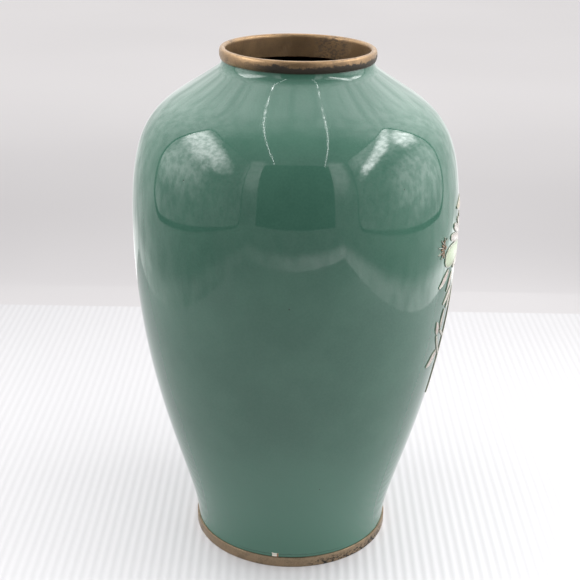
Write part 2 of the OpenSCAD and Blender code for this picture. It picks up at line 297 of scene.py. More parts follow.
@dataclass(frozen=True)
class GroundEnamel:
    """Glossy green enamel with cloudy depth, firing pits, and a chip and a crack near the foot."""

    deep: Colour = linear(50, 85, 72)
    clear: Colour = linear(60, 95, 81)
    foot_clear: Colour = linear(68, 107, 92)
    roughness: float = 0.045
    pits: tuple[Blemish, ...] = (
        Blemish(-91.5, 139.5 * MM, 0.42 * MM), Blemish(-77.0, 46.5 * MM, 0.35 * MM),
        Blemish(-52.0, 184.5 * MM, 0.35 * MM), Blemish(-130.0, 186.0 * MM, 0.4 * MM))
    chip: Blemish = Blemish(-98.6, 5.8 * MM, 1.5 * MM)
    chip_tall: float = 1.0 * MM
    crack_rise: float = 1.5 * MM
    pit_dark: Colour = linear(28, 36, 30)
    chip_pale: Colour = linear(226, 220, 208)
    chip_rust: Colour = linear(142, 98, 60)
    seam_dark: Colour = linear(52, 56, 42)
    crack_dark: Colour = linear(30, 56, 46)

    def material(self, outline: "Outline") -> Material:
        """Makes the finish.

        Args:
            outline: the face that the marks lie on.

        Returns:
            The material.
        """
        shader = Shader("green_ground_enamel")
        clouds = shader.noise(34 * MM, 3, contrast=(0.32, 0.68))
        grains = shader.noise(0.9 * MM, 1, contrast=(0.3, 0.7))
        body = shader.mix(clouds * 0.7 + grains * 0.3, self.deep, self.clear)
        _, height = shader.around()
        body = shader.mix(height.rise(0.4 * outline.height, 0.05 * outline.height), body,
                          self.foot_clear)
        holes = shader.specks(11 * MM, 0.1 * MM)
        for pit in self.pits:
            gap = shader.gap_to(outline.point(pit.turn, pit.height))
            holes = holes.larger(gap.rise(pit.reach, 0.4 * pit.reach))
        body = shader.mix(holes * 0.8, body, self.pit_dark)
        broken, stained = self._chipped(shader, outline)
        body = shader.mix(broken, body, self.chip_pale)
        body = shader.mix(stained, body, self.chip_rust)
        # Darker along the joints with the foot ring and the mouth band.
        seam = height.rise(outline.foot_top + 0.5 * MM, outline.foot_top + 0.1 * MM)
        seam = seam.larger(height.rise(outline.band_low - 0.6 * MM, outline.band_low - 0.1 * MM))
        body = shader.mix(seam * 0.6, body, self.seam_dark)
        body = shader.mix(self._crack(shader, outline) * 0.5, body, self.crack_dark)
        smudges = shader.noise(18 * MM, 4, contrast=(0.45, 0.75))
        waves = shader.noise(6 * MM, 1)
        skin = shader.bump(waves, 0.012 * MM)
        shader.set(Base_Color=body, Roughness=smudges * 0.035 + broken * 0.5 + self.roughness,
                   Normal=shader.bump(1 - holes.larger(broken), 0.12 * MM, skin), IOR=1.52)
        return shader.material

    def _chipped(self, shader: Shader, outline: "Outline") -> tuple[Link, Link]:
        """Marks the squarish chip beside the foot ring.

        Args:
            shader: the finish it belongs to.
            outline: the face that it lies on.

        Returns:
            The broken place, and the brown stain at one end of it.
        """
        middle = outline.point(self.chip.turn, self.chip.height)
        turn = math.radians(self.chip.turn)
        x, y, z = shader.axes()
        along = (x - middle.x) * -math.sin(turn) + (y - middle.y) * math.cos(turn)
        ragged = shader.noise(0.7 * MM, 3) * 0.7 - 0.35
        wide, tall = abs(along / self.chip.reach), abs((z - middle.z) / self.chip_tall)
        edge = wide.larger(tall) + ragged
        near = shader.gap_to(middle).rise(3 * MM, 2.6 * MM)
        darkening = (along + ragged * 0.4 * MM).rise(0.45 * self.chip.reach, 0.6 * self.chip.reach)
        broken = edge.rise(1.05, 0.9) * near
        return broken, broken * darkening

    def _crack(self, shader: Shader, outline: "Outline") -> Link:
        """Marks the hair crack that wanders above the foot ring's front."""
        _, y, z = shader.axes()
        wander = shader.noise(3 * MM, 3) * 1.6 * MM - 0.8 * MM
        gap = z - outline.foot_top - self.crack_rise + wander
        front = (y * -1).rise(0.8 * outline.waist_radius, 0.95 * outline.waist_radius)
        return abs(gap).rise(0.28 * MM, 0.1 * MM) * front


@dataclass(frozen=True)
class DarkPatch:
    """A dark patch on the bronze, a stain in some places and painted shade in others: the way it
    faces, how far round it reaches, and how high.
    """

    turn: float
    reach: float
    full_height: float
    gone_height: float
    share: float
    spotted: bool = False


@dataclass(frozen=True)
class WornBronze:
    """Turned bronze, rubbed bright on its edges and stained brown in its hollows, with painted
    shade in some of its listed dark patches.
    """

    name: str
    rubbed: Colour
    plain: Colour
    # The colour of brown stains, and of the painted shade in some listed patches.
    darkening: Colour
    bright_radius: tuple[float, float]
    stains_and_shades: tuple[DarkPatch, ...]
    blot_share: float

    def material(self) -> Material:
        """Makes the finish and returns its material."""
        shader = Shader(self.name)
        x, y, _ = shader.axes()
        radius, height = shader.around()
        turned = shader.noise(0.22 * MM, 3, shader.joined(radius, height, 0.0))
        patches = shader.noise(5.5 * MM, 4, contrast=(0.42, 0.64))
        flecks = shader.noise(0.7 * MM, 3, contrast=(0.35, 0.7))
        metal = shader.mix(patches * 0.6 + flecks * 0.4, self.plain, self.rubbed)
        worn = radius.rise(*self.bright_radius) * (flecks * 0.4 + 0.35)
        metal = shader.mix(worn, metal, self.rubbed)
        creep = shader.noise(2.6 * MM, 5) * 4.6 * MM - 2.3 * MM
        spots = shader.noise(1.6 * MM, 4, shader.stretched((1, 1, 1.8)), contrast=(0.47, 0.55))
        blots = shader.noise(7 * MM, 5, contrast=(0.56, 0.62)) * self.blot_share
        pits = shader.specks(1.9 * MM, 0.19 * MM) * shader.noise(9 * MM, 1, contrast=(0.45, 0.6))
        dark = blots.larger(pits * 0.8)
        # Each listed patch darkens the bronze: some are stains, some are painted shade.
        for dark_patch in self.stains_and_shades:
            turn = math.radians(dark_patch.turn)
            facing = (x * math.cos(turn) + y * math.sin(turn)) / radius
            reach = math.radians(dark_patch.reach)
            side = facing.rise(math.cos(1.25 * reach), math.cos(0.75 * reach))
            low = (height + creep).rise(dark_patch.gone_height, dark_patch.full_height)
            spread = side * low * dark_patch.share
            dark = dark.larger(spread * spots if dark_patch.spotted else spread)
        metal = shader.mix(dark, metal, self.darkening)
        skin = shader.bump(turned * 0.5 + flecks * 0.5, 0.022 * MM)
        shader.set(Base_Color=metal, Metallic=0.85 - dark * 0.6,
                   Roughness=flecks * 0.12 + dark * 0.2 + 0.34,
                   Normal=shader.bump(1 - pits, 0.1 * MM, skin))
        return shader.material


@dataclass(frozen=True)
class CellEnamel:
    """Coloured enamel in a wire cell: one tone at the cell's base and another at its tip, with
    painted shade along its wires.
    """

    name: str
    base: Colour
    tip: Colour
    rim: Colour
    edge_shade_share: float = 0.5
    roughness: float = 0.22

    def material(self) -> Material:
        """Makes the finish and returns its material."""
        shader = Shader(self.name)
        chart = shader.node("ShaderNodeUVMap", {"uv_map": CellMesh.UV_NAME})
        across, along, _ = shader.axes(chart)
        streaks = shader.noise(1.0, 2, shader.joined(across * 9.0, along * 2.0, 0.0))
        grains = shader.noise(0.35 * MM, 2)
        glass = shader.mix((along + streaks * 0.7 - 0.35).rise(0.05, 0.8), self.base, self.tip)
        # The cell's sides are painted darker towards its wires: painted shade.
        edge = abs(across - 0.5).rise(0.28, 0.5)
        glass = shader.mix(edge * self.edge_shade_share, glass, self.rim)
        pores = shader.specks(0.9 * MM, 0.05 * MM)
        # The rim colour also marks pores and grains, which belong to the glass itself.
        glass = shader.mix((pores * 0.55).larger(grains.rise(0.62, 0.8) * 0.25), glass, self.rim)
        shader.set(Base_Color=glass, Roughness=grains * 0.12 + self.roughness,
                   Normal=shader.bump(grains - pores, 0.03 * MM), IOR=1.5,
                   Specular_IOR_Level=0.3)
        return shader.material


@dataclass(frozen=True)
class SilverWire:
    """Drawn silver wire, polished on top and tarnished down its sides."""

    bright: Colour = linear(214, 212, 202)
    tarnish: Colour = linear(122, 120, 106)

    def material(self) -> Material:
        """Makes the finish and returns its material."""
        shader = Shader("tarnished_silver_wire")
        top = shader.node("ShaderNodeAttribute", {"attribute_name": CellMesh.LIFT_NAME},
                          output="Fac")
        patches = shader.noise(2.6 * MM, 3, contrast=(0.35, 0.7))
        drawn = shader.noise(0.12 * MM, 2)
        polish = top.rise(0.35, 0.95) * (patches * 0.5 + 0.45)
        shader.set(Base_Color=shader.mix(polish, self.tarnish, self.bright),
                   Metallic=polish * 0.45 + 0.55, Roughness=0.42 - polish * 0.16,
                   Normal=shader.bump(drawn, 0.01 * MM))
        return shader.material


@dataclass(frozen=True)
class DarkEnamel:
    """Counter enamel: near-black glass with brown clouds and fine fire specks."""

    name: str
    glass: Colour
    cloud: Colour
    speck: Colour
    roughness: float

    def material(self) -> Material:
        """Makes the finish and returns its material."""
        shader = Shader(self.name)
        clouds = shader.noise(14 * MM, 4, contrast=(0.4, 0.7))
        body = shader.mix(clouds, self.glass, self.cloud)
        specks = shader.specks(1.3 * MM, 0.22 * MM)
        body = shader.mix(specks * 0.6, body, self.speck)
        peel = shader.noise(1.1 * MM, 2)
        shader.set(Base_Color=body, Roughness=clouds * 0.15 + self.roughness,
                   Normal=shader.bump(peel, 0.05 * MM))
        return shader.material


@dataclass(frozen=True)
class FiredCopper:
    """Spun copper under enamel: brown oxide over a red ground, with spinning lines."""

    metal: Colour = linear(176, 104, 72)
    oxide: Colour = linear(84, 44, 30)

    def material(self) -> Material:
        """Makes the finish and returns its material."""
        shader = Shader("fired_copper")
        radius, height = shader.around()
        lines = shader.noise(0.4 * MM, 3, shader.joined(radius, height, 0.0))
        oxide = shader.noise(7 * MM, 4, contrast=(0.4, 0.6))
        shader.set(Base_Color=shader.mix(oxide, self.metal, self.oxide), Metallic=1 - oxide * 0.5,
                   Roughness=oxide * 0.25 + 0.35, Normal=shader.bump(lines, 0.03 * MM))
        return shader.material


# ---- Curves and the vase's face --------------------------------------------------------------


def vectors(*pairs: Sequence[float]) -> list[Vector]:
    """Turns pairs of radius and height into vectors."""
    return [Vector(pair) for pair in pairs]


@dataclass(frozen=True)
class Curve:
    """A cubic curve in a plane, given by its four handles."""

    handles: Sequence[Vector]

    def point(self, share: float) -> Vector:
        """Gives the point at a share of the curve."""
        a, b, c, d = self.handles
        rest = 1 - share
        middle = 3 * b * rest ** 2 * share + 3 * c * rest * share ** 2
        return a * rest ** 3 + middle + d * share ** 3

    def outward(self, share: float) -> Vector:
        """Gives the unit direction a quarter turn to the right of the curve's own."""
        a, b, c, d = self.handles
        rest = 1 - share
        way = (b - a) * rest ** 2 + 2 * (c - b) * rest * share + (d - c) * share ** 2
        return Vector((way.y, -way.x)).normalized()

    def points(self, steps: int, depth: float = 0.0) -> list[Vector]:
        """Samples the curve, moved to its left by a depth; the first point is left out.

        Args:
            steps: how many points.
            depth: how far to move them.

        Returns:
            The points.
        """
        shares = [step / steps for step in range(1, steps + 1)]
        return [self.point(share) - self.outward(share) * depth for share in shares]


@dataclass
class Outline:
    """The green face of the vase, in radius and height, from the foot ring to the mouth rim."""

    belly_height: float = 152.7 * MM
    waist_hold: float = 0.155
    belly_hold_low: float = 0.527
    belly_hold_high: float = 0.76
    neck_root_radius: float = 36.15 * MM
    neck_root_drop: float = 10.1 * MM
    neck_radius: float = 32.6 * MM
    shoulder_slope: float = math.radians(34)
    shoulder_pull: float = 29 * MM
    curves: tuple[Curve, ...] = field(init=False)

    def __post_init__(self) -> None:
        """Takes the overall sizes from the frame and lays out the three curves."""
        low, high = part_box("ground_enamel")
        self.foot_top, self.band_low = low.z, high.z
        self.belly_radius = high.x
        self.waist_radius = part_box("foot_ring")[1].x - FOOT_STEP
        self.height = CAD_BOX[1].z
        root = Vector((self.neck_root_radius, self.height - self.neck_root_drop))
        rise_low = self.belly_height - self.foot_top
        rise_high = root.y - self.belly_height
        slope = Vector((-math.cos(self.shoulder_slope), math.sin(self.shoulder_slope)))
        pull = (self.band_low - root.y) / 2
        waist = Vector((self.waist_radius, self.foot_top))
        belly = Vector((self.belly_radius, self.belly_height))
        brim = Vector((self.neck_radius, self.band_low))
        up = Vector((0, 1))
        self.curves = (
            Curve((waist, waist + up * self.waist_hold * rise_low,
                   belly - up * self.belly_hold_low * rise_low, belly)),
            Curve((belly, belly + up * self.belly_hold_high * rise_high,
                   root - slope * self.shoulder_pull, root)),
            Curve((root, root + slope * pull, brim - up * pull, brim)))
        table = self.side(0.0, (120, 120, 20))
        self._heights = [point.y for point in table]
        self._radii = [point.x for point in table]

    def side(self, depth: float, steps: Sequence[int]) -> list[Vector]:
        """Samples the face, moved inwards by a depth.

        Args:
            depth: how far inside the green face.
            steps: points on each curve; fewer numbers than curves leave the last curves out.

        Returns:
            Points of radius and height, from the foot up.
        """
        points = [Vector((self.waist_radius - depth, self.foot_top))]
        for curve, count in zip(self.curves, steps):
            points += curve.points(count, depth)
        return points

    def radius(self, height: float) -> float:
        """Gives the green face's radius at a height."""
        above = min(max(bisect_left(self._heights, height), 1), len(self._heights) - 1)
        low, high = self._heights[above - 1], self._heights[above]
        share = (height - low) / (high - low)
        return self._radii[above - 1] * (1 - share) + self._radii[above] * share

    def point(self, turn: float, height: float, lift: float = 0.0) -> Vector:
        """Gives a place on the face.

        Args:
            turn: degrees round the axis from +X.
            height: height above the foot's underside.
            lift: how far out of the face.

        Returns:
            The place.
        """
        radius, angle = self.radius(height) + lift, math.radians(turn)
        return Vector((radius * math.cos(angle), radius * math.sin(angle), height))


# ---- Making pieces ---------------------------------------------------------------------------


def sharpen(mesh: BMesh, angle: float = math.radians(32)) -> None:
    """Shades the faces smoothly, apart from the edges that turn by more than an angle."""
    for face in mesh.faces:
        face.smooth = True
    for edge in mesh.edges:
        edge.smooth = edge.calc_face_angle(0.0) < angle


def shown(name: str, data: bpy.types.ID) -> bpy.types.Object:
    """Makes an object of some data and puts it in the scene."""
    made = bpy.data.objects.new(name, data)
    bpy.context.scene.collection.objects.link(made)
    return made


def as_data(mesh: BMesh, name: str, material: Material) -> bpy.types.Mesh:
    """Turns a mesh under construction, which is used up, into a mesh with its finish."""
    data = bpy.data.meshes.new(name)
    mesh.to_mesh(data)
    mesh.free()
    data.materials.append(material)
    return data


def make_piece(mesh: BMesh, name: str, material: Material, slot: str, *nodes: str) -> None:
    """Makes a piece of the vase, on its one body, from its mesh.

    Args:
        mesh: the mesh, which is used up.
        name: the piece's name.
        material: its finish.
        slot: the record's material slot; it is not used.
        nodes: the frame's nodes that it stands for.
    """
    bmesh.ops.recalc_face_normals(mesh, faces=mesh.faces)
    sharpen(mesh)
    piece = shown(name, as_data(mesh, name, material))
    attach(piece, ROOT)
    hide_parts(*nodes)
    LOG.info("%s: %d faces, for %s", name, len(piece.data.polygons), ", ".join(nodes))


def spun(profile: Sequence[Vector], steps: int, closed: bool = True) -> BMesh:
    """Spins a profile of radius and height round the vase's axis.

    Args:
        profile: its points in order.
        steps: sides of the full turn.
        closed: whether the last point joins the first.

    Returns:
        The solid.
    """
    mesh = bmesh.new()
    corners = [mesh.verts.new((point.x, 0, point.y)) for point in profile]
    pairs = list(zip(corners, corners[1:])) + ([(corners[-1], corners[0])] if closed else [])
    edges = [mesh.edges.new(pair) for pair in pairs]
    bmesh.ops.spin(mesh, geom=corners + edges, cent=(0, 0, 0), axis=(0, 0, 1),
                   angle=math.tau, steps=steps, use_merge=True)
    bmesh.ops.remove_doubles(mesh, verts=mesh.verts, dist=SAME)
    return mesh


@dataclass
class Vessel:
    """The enamel outside and in, over the spun copper."""

    outline: Outline
    lining_t: float = 0.4 * MM

    def build(self) -> None:
        """Makes every piece of the vessel."""
        self._ground()
        self._lining()
        self._underside()
        copper = FiredCopper().material()
        for node in ("copper_body", "base_plate"):
            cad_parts[node].data.materials.clear()
            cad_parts[node].data.materials.append(copper)

    def _ground(self) -> None:
        """Spins the green skin."""
        outside = self.outline.side(0.0, (80, 64, 12))
        inside = self.outline.side(ENAMEL_T, (22, 22, 6))
        make_piece(spun(outside + inside[::-1], SIDES), "green_ground",
                   GroundEnamel().material(self.outline), "green_enamel", "ground_enamel")

    def _lining(self) -> None:
        """Spins the dark lining of the floor and wall."""
        low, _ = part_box("inner_counter_enamel")
        floor = low.z + self.lining_t
        depth = ENAMEL_T + COPPER_T
        corner = self.outline.waist_radius - depth
        wall = [p for p in self.outline.side(depth, (40, 40)) if p.y > floor]
        face = [p for p in self.outline.side(depth + self.lining_t, (60, 60)) if p.y > floor]
        profile = [*vectors((0, low.z), (corner, low.z)), *wall, *face[::-1],
                   *vectors((corner - self.lining_t, floor), (0, floor))]
        finish = DarkEnamel("lining_enamel", linear(14, 13, 12), linear(34, 27, 21),
                            linear(70, 58, 44), 0.16)
        make_piece(spun(profile, 160), "dark_lining", finish.material(), "dark_enamel",
                   "inner_counter_enamel")

    def _underside(self) -> None:
        """Spins the enamel disc inside the foot ring."""
        low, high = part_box("base_counter_enamel")
        profile = vectors((0, low.z), (high.x, low.z), (high.x, high.z), (0, high.z))
        finish = DarkEnamel("underside_enamel", linear(22, 44, 42), linear(36, 62, 54),
                            linear(120, 140, 120), 0.12)
        make_piece(spun(profile, 128), "underside_glaze", finish.material(), "dark_enamel",
                   "base_counter_enamel")


@dataclass
class MouthRim:
    """The bronze ring at the mouth: a band outside, a rolled lip and a sleeve inside."""

    throat_radius: float = 30.8 * MM
    sleeve_t: float = 0.5 * MM
    band_h: float = 5 * MM
    band_t: float = 0.9 * MM
    lip_cover: float = 1.7 * MM

    def build(self) -> None:
        """Spins the ring and dresses it."""
        low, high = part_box("mouth_rim")
        top, lip, throat = high.z, high.x, self.throat_radius
        sleeve, cover = throat + self.sleeve_t, top - self.lip_cover
        copper = sleeve + COPPER_T
        band, lip_t = copper + self.band_t, lip - copper
        band_low, lip_z, lip_mid = top - self.band_h, top - self.band_h / 2, (throat + lip) / 2
        face = Curve(vectors((band, band_low), (band + lip_t / 4, band_low + self.band_h / 8),
                             (lip, lip_z - self.band_h / 5), (lip, lip_z)))
        over = Curve(vectors((lip, lip_z), (lip, top - self.band_h / 6), (lip - lip_t / 4, top),
                             (lip_mid, top)))
        into = Curve(vectors((lip_mid, top), (lip_mid - lip_t / 2, top),
                             (throat, top - self.lip_cover / 4), (throat, cover)))
        down = [(throat, cover + (low.z - cover) * step / 6) for step in range(1, 7)]
        profile = [*vectors((copper, cover), (copper, band_low), (band, band_low)),
                   *face.points(10), *over.points(14), *into.points(12),
                   *vectors(*down, (sleeve, low.z), (sleeve, cover))]
        band_mid = band_low + 0.55 * self.band_h
        finish = WornBronze(
            "mouth_bronze", linear(128, 105, 80), linear(150, 123, 91), linear(27, 22, 17),
            (lip - 0.5 * MM, lip),
            # Dark patches: a dark brown band of painted shade along the band's lower edge under the
            # rolled lip, painted shade that darkens the throat towards its bottom, and brown stain
            # spots on the lip's top at the back.
            (DarkPatch(-58, 66, band_low + 2.3 * MM, band_mid + 0.5 * MM, 0.95),
             DarkPatch(0, 180, low.z + 2.2 * MM, low.z + 5.5 * MM, 0.85),
             DarkPatch(60, 15, top - 1.5 * MM, top + 0.5 * MM, 0.7, True)), 0.3)
        make_piece(spun(profile, SIDES), "mouth_collar", finish.material(), "bronze", "mouth_rim")


@dataclass
class FootRing:
    """The bronze ring that the vase stands on."""

    flange_w: float = 1.4 * MM
    sole_t: float = 2 * MM
    edge: float = 0.3 * MM

    def build(self) -> None:
        """Spins the ring, rounds its worn edges and dresses it."""
        low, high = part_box("foot_ring")
        outer, flange_top = high.x, high.z
        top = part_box("ground_enamel")[0].z
        seat = outer - FOOT_STEP - ENAMEL_T
        inside = seat - COPPER_T
        hollow = inside - self.flange_w
        profile = vectors((hollow, 0), (outer, 0), (outer, top), (seat, top), (seat, self.sole_t),
                          (inside, self.sole_t), (inside, flange_top), (hollow, flange_top))
        mesh = spun(profile, SIDES)
        worn = [edge for edge in mesh.edges if self._is_worn(edge, hollow, outer, top)]
        bmesh.ops.bevel(mesh, geom=worn, offset=self.edge, offset_type="OFFSET", affect="EDGES",
                        segments=4, profile=0.5, material=-1)
        finish = WornBronze("foot_bronze", linear(154, 134, 110), linear(120, 104, 83),
                            linear(26, 22, 18), (outer - 0.3 * MM, outer),
                            (DarkPatch(-48, 29, 2.0 * MM, 4.0 * MM, 1.0, True),), 0.2)
        make_piece(mesh, "foot_band", finish.material(), "bronze", "foot_ring")

    @staticmethod
    def _is_worn(edge: bmesh.types.BMEdge, hollow: float, outer: float, top: float) -> bool:
        """Tells whether an edge runs round the sole or the outer face's top."""
        one, two = (Vector((math.hypot(end.co.x, end.co.y), end.co.z)) for end in edge.verts)
        corners = vectors((hollow, 0), (outer, 0), (outer, top))
        return (one - two).length < TOUCH and any((one - corner).length < TOUCH
                                                  for corner in corners)


# ---- The spray -------------------------------------------------------------------------------


@dataclass(frozen=True)
class Cell:
    """A cell of the spray on the unrolled face: its middle line and its half width."""

    line: Curve
    width: Width


@dataclass
class CellMesh:
    """Builds crowned cells and their wires on the vase's face."""

    outline: Outline
    wire_w: float = 0.28 * MM
    wire_h: float = 0.45 * MM
    edge_h: float = 0.3 * MM
    crown_h: float = 0.5 * MM
    sunk: float = 0.05 * MM
    UV_NAME = "cell"
    LIFT_NAME = "lift"

    def onto(self, place: Vector, lift: float) -> Vector:
        """Lays a place of the unrolled face onto the vase, with a lift."""
        return self.outline.point(math.degrees(place.x / self.outline.belly_radius), place.y, lift)

    def glass(self, cells: Iterable[Cell], across: int = 10, along: int = 26,
              flat_lift: float | None = None) -> BMesh:
        """Makes the enamel of some cells.

        Args:
            cells: the cells.
            across: faces from side to side.
            along: faces from end to end.
            flat_lift: a level top at this lift in place of a crown.

        Returns:
            Closed solids, one for each cell.
        """
        mesh = bmesh.new()
        chart = mesh.loops.layers.uv.new(self.UV_NAME)
        for cell in cells:
            grid = bmesh.ops.create_grid(mesh, x_segments=across, y_segments=along, size=1,
                                         calc_uvs=False)["verts"]
            faces = list({face for vertex in grid for face in vertex.link_faces})
            for face in faces:
                for loop in face.loops:
                    loop[chart].uv = loop.vert.co.x / 2 + 0.5, loop.vert.co.y / 2 + 0.5
            top = bmesh.ops.extrude_face_region(mesh, geom=faces)["geom"]
            raised = [item for item in top if isinstance(item, bmesh.types.BMVert)]
            for vertex in grid:
                self._settle(vertex, cell, None)
            for vertex in raised:
                self._settle(vertex, cell, CROWNED if flat_lift is None else flat_lift)
        return mesh

    def _settle(self, vertex: bmesh.types.BMVert, cell: Cell, level: float | None) -> None:
        """Moves a grid's vertex onto the vase: sunk for None, crowned, or at a level."""
        side, share = vertex.co.x, vertex.co.y / 2 + 0.5
        place = cell.line.point(share) + cell.line.outward(share) * cell.width(share) * side
        if level is None:
            lift = -self.sunk
        elif level == CROWNED:
            dome = (1 - side ** 2) * (1 - (2 * share - 1) ** 6)
            lift = self.edge_h + (self.crown_h - self.edge_h) * dome
        else:
            lift = level
        vertex.co = self.onto(place, lift)

    def wires(self, cells: Iterable[Cell], steps: int = 26) -> BMesh:
        """Makes the flat wires that stand round some cells.

        Args:
            cells: the cells.
            steps: segments along each side of a cell.

        Returns:
            Closed rings, one for each cell.
        """
        mesh = bmesh.new()
        level = mesh.verts.layers.float.new(self.LIFT_NAME)
        shoulder = 0.1 * MM
        rise = [(0.0, -self.sunk), (0.0, self.wire_h - shoulder),
                (0.25, self.wire_h - 0.2 * shoulder)]
        rows = [*rise, (0.5, self.wire_h), *((1 - share, lift) for share, lift in rise[::-1])]
        for cell in cells:
            path = self._edge_path(cell, steps)
            away = self._away(path)
            ring = bmesh.ops.create_circle(mesh, segments=len(path), radius=1)["verts"]
            first = loop = list({edge for vertex in ring for edge in vertex.link_edges})
            loops = [ring]
            for _ in rows[1:]:
                made = bmesh.ops.extrude_edge_only(mesh, edges=loop)["geom"]
                ring = [item for item in made if isinstance(item, bmesh.types.BMVert)]
                loop = [item for item in made if isinstance(item, bmesh.types.BMEdge)
                        and set(item.verts) <= set(ring)]
                loops.append(ring)
            for ring, (share, lift) in zip(loops, rows):
                for vertex in ring:
                    turn = math.atan2(vertex.co.x, vertex.co.y) % math.tau
                    index = round(turn / math.tau * len(path)) % len(path)
                    vertex[level] = lift / self.wire_h
                    vertex.co = self.onto(path[index] + away[index] * self.wire_w * share, lift)
            bmesh.ops.bridge_loops(mesh, edges=first + loop)
        return mesh

    @staticmethod
    def _edge_path(cell: Cell, steps: int) -> list[Vector]:
        """Walks round a cell's edge: up its left side and down its right side."""
        shares = [(1 - math.cos(math.pi * step / steps)) / 2 for step in range(steps + 1)]
        left = [cell.line.point(s) - cell.line.outward(s) * cell.width(s) for s in shares]
        right = [cell.line.point(s) + cell.line.outward(s) * cell.width(s) for s in shares]
        return left + right[::-1]

    @staticmethod
    def _away(path: Sequence[Vector]) -> list[Vector]:
        """Gives the way out of a closed path at each point, lengthened at its corners."""
        ways = []
        for index, here in enumerate(path):
            before = (here - path[index - 1]).normalized()
            after = (path[(index + 1) % len(path)] - here).normalized()
            way = (before + after).normalized()
            out, side = Vector((-way.y, way.x)), Vector((-before.y, before.x))
            ways.append(out / max(0.7, out.dot(side)))
        return ways


@dataclass(frozen=True)
class Fan:
    """Petals round a middle: the angle between neighbours and where they start."""

    middle: tuple[float, float]
    spread: float
    start: float


@dataclass(frozen=True)
class Kind:
    """A kind of cell: its name, node, slot and finish, and its faces across and along."""

    name: str
    node: str
    slot: str
    finish: CellEnamel
    across: int = 10
    along: int = 26


